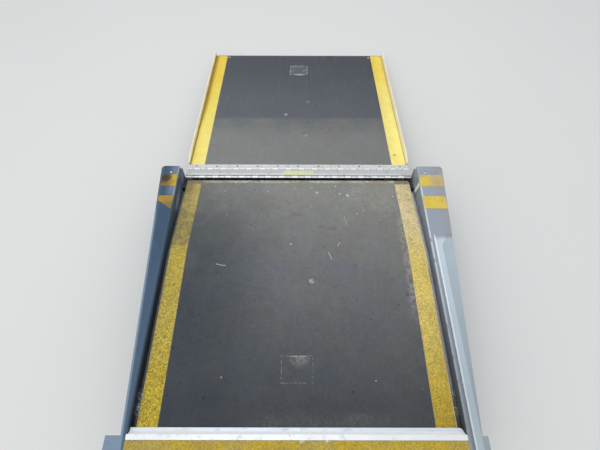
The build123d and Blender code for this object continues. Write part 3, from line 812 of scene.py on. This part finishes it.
def cup_finish(colours):
    """Handle cup: plain grey plate on the walking side, chipped paint inside."""
    f = Finish("cup_paint").on_ramp(FLAP_HINGE)
    x, y, z = f.axes()
    lines = f.noise(2, 3, stretch=(6, 160, 1))
    f.tone = f.shaded(colours.cup, 0.75 + 0.3 * f.noise(40, 4, 0.7) + 0.2 * lines)
    outside = z.rise(-0.008, -0.005)
    torn = f.noise(60, 4, 0.75).rise(0.42, 0.58)
    edge = frame_line(x, y, (0, CUP_CENTRE), (0.0400, 0.0400), 0.0050) * torn
    near_edge = (y - CUP_CENTRE + 0.01 * f.noise(40, 3)).rise(-0.024, -0.032) * torn
    bright = (edge * 0.36).most(near_edge * 0.75).most(lines.rise(0.54, 0.62) * torn * 0.35)
    f.lay(chip(212, 214, 214), bright * outside)
    inside = f.shaded(chip(52, 55, 58), 0.7 + 0.6 * f.noise(50, 4))
    chipped = f.noise(110, 4, 0.7, shift=2).rise(0.60, 0.66)
    inside = f.blend(inside, chip(150, 150, 148), chipped * 0.7)
    f.lay(inside, 1 - outside)
    return f.done(0.5, 0.2)


def steel_finish(name, colour, roughness=0.35, rust=0.2):
    """Plated steel of pins, screws and the ring, with brown in its corners."""
    f = Finish(name)
    patches = f.noise(120, 4, 0.7)
    f.tone = f.shaded(colour, 0.8 + 0.35 * f.noise(300, 3))
    f.lay(chip(104, 72, 48), patches.rise(0.58, 0.7) * rust)
    return f.done(roughness + 0.3 * patches, 0.85)


def weld_finish(colours):
    """Weld bead: dull, rippled."""
    f = Finish("weld_metal")
    ripples = f.noise(500, 2)
    f.tone = f.shaded(chip(150, 151, 150), 0.6 + 0.6 * ripples)
    f.lay(colours.grime, f.noise(90, 4).rise(0.45, 0.65) * 0.6)
    return f.done(0.55, 0.6, height=ripples, depth=0.0004)


def tip_wear(f, x, y, z):
    """Dark dirt on the tip, lighter where its edge rubs on the ground."""
    soil = 0.75 + 0.25 * f.noise(26, 4, 0.7, shift=5).rise(0.35, 0.6)
    walked = f.facing("Z").rise(-0.2, 0.2)
    f.lay(chip(70, 73, 76), soil * (0.35 + 0.65 * walked))


def kerb_wear_and_shade(f, x, y, z):
    """A kerb's top edge is rubbed white; its inner face is stained yellow-brown, with painted shade and
    light on it, and has brown dirt.
    """
    # Painted shade and light on the inner faces: the left kerb's darker, the right kerb's pale, both
    # lighter towards the hinge.
    stain_and_shade = f.blend(chip(190, 168, 84), chip(232, 222, 196), x.rise(-0.1, 0.1))
    stain_and_shade = f.shaded(stain_and_shade, (0.80 + 0.34 * f.noise(34, 4, 0.7)) * (1 + 0.20 * y.rise(0.7, 0.1)))
    inward = (f.facing("X") * x).rise(-0.05, -0.2)
    f.lay(stain_and_shade, inward * 0.9)
    brown = f.noise(30, 5, 0.75, shift=8).rise(0.60, 0.74)
    f.lay(chip(140, 112, 84), brown * 0.35)
    scuffs = f.noise(20, 4, 0.7, stretch=(1, 0.6, 1), shift=5).rise(0.42, 0.60)
    rubbed = (z + 0.002 * scuffs).rise(0.0035, 0.0075)
    f.lay(chip(255, 250, 222), rubbed * (0.75 + 0.25 * scuffs))


def core_dirt_and_shade(f, x, y, z):
    """Brown along the foot of the kerbs, darker on the left: dirt and painted shade of the kerbs."""
    foot = abs(x).rise(GRIP_HALF + 0.040, GRIP_HALF + 0.043) * f.facing("Z").rise(0.5, 0.8)
    # Dirt and painted shade of the kerbs, as on the tapes beside them, darker on the left.
    soil = f.blend(chip(160, 136, 70), chip(214, 196, 132), x.rise(-0.1, 0.1))
    f.lay(soil, foot * (0.6 + 0.4 * f.noise(40, 4, 0.7)))


def nosing_heel(f):
    """The slope that runs down to the nosing's ledge."""
    return f.facing("Y").rise(0.2, 0.6) * f.facing("Z").rise(0.1, 0.4)


def nosing_wear_and_highlight(f, x, y, z):
    """The ledge a shade darker and bluer, thin streaks of grime, a painted highlight near white on the
    heel, and dents.
    """
    ledge = z.rise(-0.009, -0.017)
    f.lay(chip(206, 214, 222), ledge * 0.7)
    streaks = f.noise(7, 3, 0.6, stretch=(1, 12, 1), shift=2).rise(0.5, 0.7)
    f.lay(chip(176, 182, 188), streaks * ledge * 0.4)
    # Painted highlight: the heel painted near white.
    f.lay(chip(252, 253, 254), nosing_heel(f) * 0.9)
    nicks = f.noise(60, 3, 0.8, shift=6).rise(0.70, 0.76)
    f.lay(chip(150, 152, 152), nicks * 0.6)


def panel_wear_and_light(f, x, y, z):
    """The panel's long edges are gritty grey, dark on the left and pale on the right and towards the
    door, partly painted light; its strip at the sill is grey with grit.
    """
    up = f.facing("Z").rise(0.5, 0.8)
    grit = f.noise(60, 4, 0.7)
    # Pale on the right and towards the door: partly painted light.
    pale = f.blend(chip(196, 176, 172), chip(236, 232, 230), y.rise(-0.2, 0.15))
    soil = f.blend(chip(112, 110, 104), pale, x.rise(-0.1, 0.1))
    f.lay(soil, up * (0.65 + 0.35 * grit))
    litter = y.rise(0.015, 0.035) * y.rise(0.085, 0.060) * f.noise(70, 3, 0.7).rise(0.36, 0.5)
    f.lay(chip(74, 50, 34), litter * x.rise(0.1, 0.2) * 0.9)
    by_sill = y.rise(0.440, 0.443) * up
    f.lay(f.blend(chip(96, 92, 86), chip(206, 202, 190), grit.rise(0.36, 0.56)), by_sill)
    f.lay(chip(120, 104, 84), by_sill * x.rise(0.28, 0.33) * 0.7)


def dress(material, *nodes):
    """Gives CAD nodes a finish."""
    for node in nodes:
        for slot in frame["nodes"][node].material_slots:
            slot.material = material


# Geometry Nodes: rows of heads and of weld stitches
def row_tree():
    """A straight row of one piece: Head, Count, Start, Step, Turn and Finish are its inputs."""
    group = bpy.data.node_groups.new("row_of_pieces", "GeometryNodeTree")
    face = group.interface
    for name, kind in (("Head", "NodeSocketObject"), ("Count", "NodeSocketInt"),
                       ("Start", "NodeSocketVector"), ("Step", "NodeSocketVector"),
                       ("Turn", "NodeSocketVector"), ("Spin", "NodeSocketFloat"),
                       ("Finish", "NodeSocketMaterial")):
        face.new_socket(name, in_out="INPUT", socket_type=kind)
    face.new_socket("Geometry", in_out="OUTPUT", socket_type="NodeSocketGeometry")
    t = Tree(group)
    given = t.node("NodeGroupInput")
    line = t.node("GeometryNodeMeshLine", {"mode": "OFFSET"}, {
        "Count": given.output("Count"), "Start Location": given.output("Start"),
        "Offset": given.output("Step"),
    })
    head = t.node("GeometryNodeObjectInfo", sockets={"Object": given}, out="Geometry")
    spin = t.node("FunctionNodeRandomValue", {"data_type": "FLOAT"},
                  {2: 0.0, 3: given.output("Spin"), "Seed": 5}, out=1)
    about = t.node("ShaderNodeCombineXYZ", sockets={"Z": spin})
    turned = t.node("FunctionNodeRotateEuler", {"rotation_type": "EULER", "space": "OBJECT"},
                    {"Rotation": given.output("Turn"), "Rotate By": about})
    placed = t.node("GeometryNodeInstanceOnPoints",
                    sockets={"Points": line, "Instance": head, "Rotation": turned})
    solid = t.node("GeometryNodeRealizeInstances", sockets={"Geometry": placed})
    finished = t.node("GeometryNodeSetMaterial",
                      sockets={"Geometry": solid, "Material": given.output("Finish")})
    t.node("NodeGroupOutput", sockets={0: finished})
    return group


def smooth_piece(name, shape):
    """A finished shape as an object that shades smooth."""
    bmesh.ops.recalc_face_normals(shape, faces=shape.faces)
    mesh = bpy.data.meshes.new(name)
    shape.to_mesh(mesh)
    shape.free()
    mesh.shade_smooth()
    return bpy.data.objects.new(name, mesh)


def lathe(name, profile, segments=20):
    """A head turned from a profile of (radius, height) points, centre first."""
    shape = bmesh.new()
    previous = None
    for radius, height in profile:
        if radius == 0:
            ring = [shape.verts.new((0, 0, height))]
        else:
            angles = [2 * math.pi * i / segments for i in range(segments)]
            ring = [shape.verts.new((radius * math.cos(a), radius * math.sin(a), height))
                    for a in angles]
        if previous:
            longer, shorter = (ring, previous) if len(ring) >= len(previous) else (previous, ring)
            for i in range(len(longer)):
                j = (i + 1) % len(longer)
                corner = [longer[i], longer[j]]
                corner += [shorter[j], shorter[i]] if len(shorter) > 1 else [shorter[0]]
                shape.faces.new(corner)
        previous = ring
    return smooth_piece(name, shape)


def socket_screw(name, radius, rise):
    """A low countersunk head with a round driving recess."""
    recess = radius * 0.5
    return lathe(name, [(0, rise - recess), (recess * 0.9, rise - recess), (recess, rise),
                        (radius * 0.93, rise), (radius, rise * 0.6), (radius, -0.001), (0, -0.001)])


def dome_screw(name, radius, rise):
    """A low domed rivet head."""
    return lathe(name, [(0, rise), (radius * 0.4, rise * 0.93), (radius * 0.75, rise * 0.68),
                        (radius * 0.95, rise * 0.3), (radius, 0), (radius, -0.001), (0, -0.001)])


def weld_stitch(name, length, width):
    """A short rippled bead that lies along Y."""
    shape = bmesh.new()
    rings, sides = 15, 6
    loops = []
    for i in range(rings):
        share = i / (rings - 1)
        swell = math.sin(math.pi * min(max(share, 0.04), 0.96)) ** 0.35 * (0.9 + 0.1 * math.cos(2.2 * i))
        loop = []
        for k in range(sides):
            angle = math.pi * k / (sides - 1)
            x = 0.5 * width * swell * math.cos(angle)
            z = 0.45 * width * swell * math.sin(angle)
            loop.append(shape.verts.new((x, (share - 0.5) * length, z)))
        loops.append(loop)
    for first, second in zip(loops, loops[1:]):
        for k in range(sides):
            j = (k + 1) % sides
            shape.faces.new((first[k], first[j], second[j], second[k]))
    shape.faces.new(loops[0])
    shape.faces.new(loops[-1])
    return smooth_piece(name, shape)


def row(name, body, head, count, start, step, finish, turn=(0, 0, 0), spin=0.0):
    """Sets a row of pieces with the row tree and leaves it a plain mesh that rides on its body."""
    tree = bpy.data.node_groups.get("row_of_pieces") or row_tree()
    piece = bpy.data.objects.new(name, bpy.data.meshes.new(name))
    bpy.context.scene.collection.objects.link(piece)
    modifier = piece.modifiers.new("row", "NODES")
    modifier.node_group = tree
    wanted = {"Head": head, "Count": count, "Start": start, "Step": step, "Turn": turn, "Spin": spin,
              "Finish": finish}
    for item in tree.interface.items_tree:
        if item.in_out == "INPUT":
            value = wanted[item.name]
            modifier[item.identifier] = tuple(value) if isinstance(value, Vector) else value
    evaluated = piece.evaluated_get(bpy.context.evaluated_depsgraph_get())
    mesh = bpy.data.meshes.new_from_object(evaluated)
    piece.modifiers.clear()
    piece.data = mesh
    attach(piece, body)
    return piece


def joined(name, body, pieces):
    """Several rows made one piece."""
    shape = bmesh.new()
    finish = pieces[0].data.materials[0]
    for piece in pieces:
        shape.from_mesh(piece.data)
        bpy.data.objects.remove(piece)
    mesh = bpy.data.meshes.new(name)
    shape.to_mesh(mesh)
    shape.free()
    mesh.materials.append(finish)
    whole = bpy.data.objects.new(name, mesh)
    bpy.context.scene.collection.objects.link(whole)
    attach(whole, body)
    return whole


def on_flap(x, y, z):
    """A place in the flap's own axes, from its hinge, as a place in the frame."""
    return FLAP_HINGE + Matrix.Rotation(-SLOPE, 3, "X") @ Vector((x, y, z))


class RampPiece:
    """What the ramp's operators share."""

    bl_options = {"REGISTER", "UNDO"}

    def execute(self, context):
        self.make(context.scene.ramp_colours, context.scene.ramp_sizes)
        return {"FINISHED"}


class RAMP_OT_sheets(RampPiece, bpy.types.Operator):
    """Finish the anti-slip sheets of the well and the flap"""

    bl_idname = "ramp.sheets"
    bl_label = "Anti-slip sheets"

    def make(self, colours, sizes):
        dress(well_sheet(colours), "inner_grip")
        dress(flap_sheet(colours), "flap_grip")


class RAMP_OT_tapes(RampPiece, bpy.types.Operator):
    """Finish the yellow tapes, the band and the squares on the flanges"""

    bl_idname = "ramp.tapes"
    bl_label = "Yellow tapes"

    def make(self, colours, sizes):
        dress(tape("well_tape_left", colours, left_tape, 0.5, 1.1, worn=left_worn),
              "inner_tape_left")
        dress(tape("well_tape_right", colours, right_tape, 0.36, 0.7, worn=right_worn),
              "inner_tape_right")
        dress(tape("flap_tape", colours, flap_tape, 0.05, 0.14, on_flap=True),
              "flap_tape_left", "flap_tape_right")
        dress(tape("band_tape", colours, near_band, 0.4, 0.45), "near_band")
        dress(tape("square_tape", colours, flange_squares, 0.3, 0.2),
              "flange_patch_left", "flange_patch_right")


class RAMP_OT_well(RampPiece, bpy.types.Operator):
    """Finish the painted pans, the nosing, the panel's metal and the frame under it"""

    bl_idname = "ramp.well"
    bl_label = "Well"

    def make(self, colours, sizes):
        dress(pan_finish(colours), "side_pan_left", "side_pan_right", "near_pan",
              "hinge_cheek_left", "hinge_cheek_right")
        nosing = bare_aluminium("nosing_aluminium", colours.nosing, colours.grime, 0.12, 0.36, 0.5,
                                nosing_wear_and_highlight, dull=nosing_heel)
        dress(nosing, "nosing")
        dress(bare_aluminium("panel_aluminium", colours.aluminium, colours.grime, 0.6, wear=panel_wear_and_light),
              "inner_panel")
        dress(bare_aluminium("rib_aluminium", colours.aluminium, colours.grime, 0.6), "panel_ribs")
        dress(primer_finish(colours), "cross_rails", "sill_beam")


class RAMP_OT_hinge(RampPiece, bpy.types.Operator):
    """Finish the double hinge: link, leaves and pins"""

    bl_idname = "ramp.hinge"
    bl_label = "Double hinge"

    def make(self, colours, sizes):
        dress(link_finish(colours), "link_plate")
        leaf = bare_aluminium("leaf_aluminium", chip(216, 216, 214), colours.grime, 0.35, 0.38,
                              wear=leaf_wear, hinge=FLAP_HINGE)
        dress(leaf, "flap_hinge_leaf")
        sill_leaf = bare_aluminium("sill_leaf_metal", chip(232, 235, 236), colours.grime, 0.3, 0.40, 0.8,
                                   wear=sill_leaf_wear_and_shadow, hinge=SILL_HINGE)
        dress(sill_leaf, "sill_hinge_leaf")
        dress(steel_finish("pin_steel", colours.steel), "sill_hinge_pin", "outer_hinge_pin")


class RAMP_OT_flap(RampPiece, bpy.types.Operator):
    """Finish the flap's core, floor covering, tip, kerbs, cup and ring"""

    bl_idname = "ramp.flap"
    bl_label = "Flap"

    def make(self, colours, sizes):
        dress(bare_aluminium("core_aluminium", colours.aluminium, colours.grime, 0.5, wear=core_dirt_and_shade),
              "flap_core")
        tip = bare_aluminium("tip_aluminium", colours.aluminium, colours.grime, 0.6, 0.6, 0.2, tip_wear)
        dress(tip, "flap_tip")
        kerb = bare_aluminium("kerb_aluminium", chip(206, 202, 194), colours.grime, 0.45, 0.5, 0.1,
                              kerb_wear_and_shade, FLAP_HINGE)
        dress(kerb, "kerb_left", "kerb_right")
        dress(vinyl_finish(colours), "flap_floor")
        dress(cup_finish(colours), "handle_cup")
        dress(steel_finish("ring_steel", chip(196, 197, 198), 0.28), "handle_ring")


class RAMP_OT_fasteners(RampPiece, bpy.types.Operator):
    """Set the rows of screws and rivets"""

    bl_idname = "ramp.fasteners"
    bl_label = "Screws and rivets"

    def make(self, colours, sizes):
        dark = steel_finish("dark_screws", chip(92, 94, 96), 0.5, 0.4)
        bright = steel_finish("bright_screws", chip(226, 227, 226), 0.35, 0.15)
        rusty = steel_finish("frame_bolts", chip(112, 106, 98), 0.55, 0.8)
        screw = socket_screw("leaf_head", sizes.leaf_screw_radius, 0.5 * MM)
        pitch, first = sizes.leaf_screw_pitch, -sizes.leaf_screw_pitch * (sizes.leaf_screws - 1) / 2
        row("leaf_screws", "flap", screw, sizes.leaf_screws,
            on_flap(first, sizes.leaf_screw_line, -2.5 * MM), (pitch, 0, 0), dark,
            FLAT_ON_FLAP, ANY_TURN)
        pitch, first = sizes.sill_screw_pitch, -sizes.sill_screw_pitch * (sizes.sill_screws - 1) / 2
        row("sill_screws", "well", screw, sizes.sill_screws,
            (first, SILL_FACE + 3 * MM, SILL_HINGE.z - 20 * MM), (pitch, 0, 0), dark,
            (-math.pi / 2, 0, 0), ANY_TURN)
        tip_screw = socket_screw("tip_head", sizes.tip_screw_radius, 0.4 * MM)
        row("tip_screws", "flap", tip_screw, 2,
            on_flap(-TIP_SCREWS_APART / 2, TIP_SCREW_LINE, -4 * MM), (TIP_SCREWS_APART, 0, 0), bright,
            FLAT_ON_FLAP, ANY_TURN)
        rivet = dome_screw("rim_head", 3 * MM, 0.9 * MM)
        lines = (CUP_CENTRE - RIM_RIVET_LINE, CUP_CENTRE + RIM_RIVET_LINE)
        rim = [row("rim_rivets", "flap", rivet, 3,
                   on_flap(-RIM_RIVET_PITCH, y, -23.5 * MM), (RIM_RIVET_PITCH, 0, 0), bright,
                   (math.pi - SLOPE, 0, 0)) for y in lines]
        joined("cup_rivets", "flap", rim)
        bolt = dome_screw("rail_head", 7 * MM, 4 * MM)
        rail_low, rail_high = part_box("cross_rails")
        middles = (rail_low.y + RAIL_HALF, rail_high.y - RAIL_HALF)
        rails = [row("rail_bolts", "well", bolt, RIBS, (-2 * RIB_PITCH, y, rail_low.z),
                     (RIB_PITCH, 0, 0), rusty, (math.pi, 0, 0)) for y in middles]
        joined("rail_bolts", "well", rails)


class RAMP_OT_welds(RampPiece, bpy.types.Operator):
    """Lay the weld stitches along the ribs under the panel"""

    bl_idname = "ramp.welds"
    bl_label = "Welds"

    def make(self, colours, sizes):
        finish = weld_finish(colours)
        stitch = weld_stitch("stitch", sizes.weld_length, sizes.weld_width)
        down = Matrix.Rotation(-PANEL_SLOPE, 3, "X")
        slope_level = RIB_LEVEL - math.tan(PANEL_SLOPE) * (SLOPE_WELDS - PANEL_BEND)
        rows = []
        for rib in range(RIBS):
            for side in (-1, 1):
                x = (rib - RIBS // 2) * RIB_PITCH + side * RIB_SIDE
                out = Matrix.Rotation(math.radians(180 - side * 45), 3, "Y")
                for turn, count, start, step in (
                    (out, 4, (x, FLAT_WELDS, RIB_LEVEL), (0, sizes.weld_pitch, 0)),
                    (down @ out, 3, (x, SLOPE_WELDS, slope_level), down @ Vector((0, 100 * MM, 0))),
                ):
                    rows.append(row("stitches", "well", stitch, count, start, step,
                                    finish, tuple(turn.to_euler())))
        joined("rib_welds", "well", rows)


class RAMP_OT_studio(bpy.types.Operator):
    """Set the pale floor, the soft boxes and the camera"""

    bl_idname = "ramp.studio"
    bl_label = "Studio"

    def execute(self, context):
        settings = context.scene.ramp_studio
        scene = context.scene
        self.lay_floor(scene, settings)
        self.light_world(scene, settings)
        self.hang_lamp(scene, "door_lamp", place=(-0.3, 0.7, 2.7), target=(0, 0.6, 0), size=(2.4, 2.0),
                       power=settings.door_lamp)
        self.hang_lamp(scene, "side_lamp", place=(-2.2, -1.6, 2.4), target=(0, 0.2, 0), size=(2.0, 2.0),
                       power=settings.side_lamp)
        self.set_camera(scene, settings)
        scene.view_settings.view_transform = "Standard"
        return {"FINISHED"}

    def lay_floor(self, scene, settings):
        half = 60.0
        level = FLOOR_LEVEL - 0.5 * MM
        mesh = bpy.data.meshes.new("studio_floor")
        corners = [(x * half, y * half, level) for x, y in ((-1, -1), (1, -1), (1, 1), (-1, 1))]
        mesh.from_pydata(corners, [], [(0, 1, 2, 3)])
        floor = bpy.data.objects.new("studio_floor", mesh)
        f = Finish("studio_floor")
        f.tone = f.shaded(settings.floor, 0.98 + 0.03 * f.noise(1.5, 2))
        mesh.materials.append(f.done(roughness=0.9))
        scene.collection.objects.link(floor)

    def light_world(self, scene, settings):
        world = bpy.data.worlds.new("studio_world")
        world.use_nodes = True
        world.node_tree.nodes.clear()
        t = Tree(world.node_tree)
        rays = t.node("ShaderNodeLightPath")
        direct = rays.output("Is Camera Ray").most(rays.output("Is Glossy Ray"))
        direct = direct.most(rays.output("Is Transmission Ray"))
        strength = settings.ambient + (1 - settings.ambient) * direct
        light = t.node("ShaderNodeBackground",
                       sockets={"Color": chip(244, 247, 250), "Strength": strength})
        t.node("ShaderNodeOutputWorld", sockets={"Surface": light})
        scene.world = world

    def hang_lamp(self, scene, name, place, target, size, power):
        lamp = bpy.data.lights.new(name, "AREA")
        lamp.shape = "RECTANGLE"
        lamp.size, lamp.size_y = size
        lamp.energy = power
        held = bpy.data.objects.new(name, lamp)
        held.location = place
        aim = Vector(target) - Vector(place)
        held.rotation_euler = aim.to_track_quat("-Z", "Y").to_euler()
        scene.collection.objects.link(held)

    def set_camera(self, scene, settings):
        camera = bpy.data.cameras.new("camera")
        camera.sensor_width = 36.0
        camera.lens = settings.lens
        camera.clip_start = 0.01
        held = bpy.data.objects.new("camera", camera)
        turn = Matrix.Rotation(-settings.camera_right, 4, "Z")
        tilt = Matrix.Rotation(math.pi / 2 - settings.camera_down, 4, "X")
        roll = Matrix.Rotation(settings.camera_roll, 4, "Z")
        held.matrix_world = Matrix.Translation(settings.camera_place) @ turn @ tilt @ roll
        scene.collection.objects.link(held)
        scene.camera = held


PIECES = (RAMP_OT_sheets, RAMP_OT_tapes, RAMP_OT_well, RAMP_OT_hinge, RAMP_OT_flap,
          RAMP_OT_fasteners, RAMP_OT_welds, RAMP_OT_studio)
SETTINGS = (("ramp_colours", RampColours), ("ramp_sizes", RampSizes), ("ramp_studio", StudioSettings))


class RAMP_PT_dressing(bpy.types.Panel):
    """Lists the ramp's operators and settings."""

    bl_label = "Ramp"
    bl_idname = "RAMP_PT_dressing"
    bl_space_type = "VIEW_3D"
    bl_region_type = "UI"
    bl_category = "Ramp"

    def draw(self, context):
        for operator in PIECES:
            self.layout.operator(operator.bl_idname)
        for name, group in SETTINGS:
            box = self.layout.box()
            for field in group.__annotations__:
                box.prop(getattr(context.scene, name), field)


def register():
    for name, group in SETTINGS:
        bpy.utils.register_class(group)
        setattr(bpy.types.Scene, name, PointerProperty(type=group))
    for made in (*PIECES, RAMP_PT_dressing):
        bpy.utils.register_class(made)


def unregister():
    for made in (RAMP_PT_dressing, *reversed(PIECES)):
        bpy.utils.unregister_class(made)
    for name, group in reversed(SETTINGS):
        delattr(bpy.types.Scene, name)
        bpy.utils.unregister_class(group)


def main():
    register()
    for operator in PIECES:
        group, name = operator.bl_idname.split(".")
        getattr(getattr(bpy.ops, group), name)()


if __name__ == "__main__":
    main()
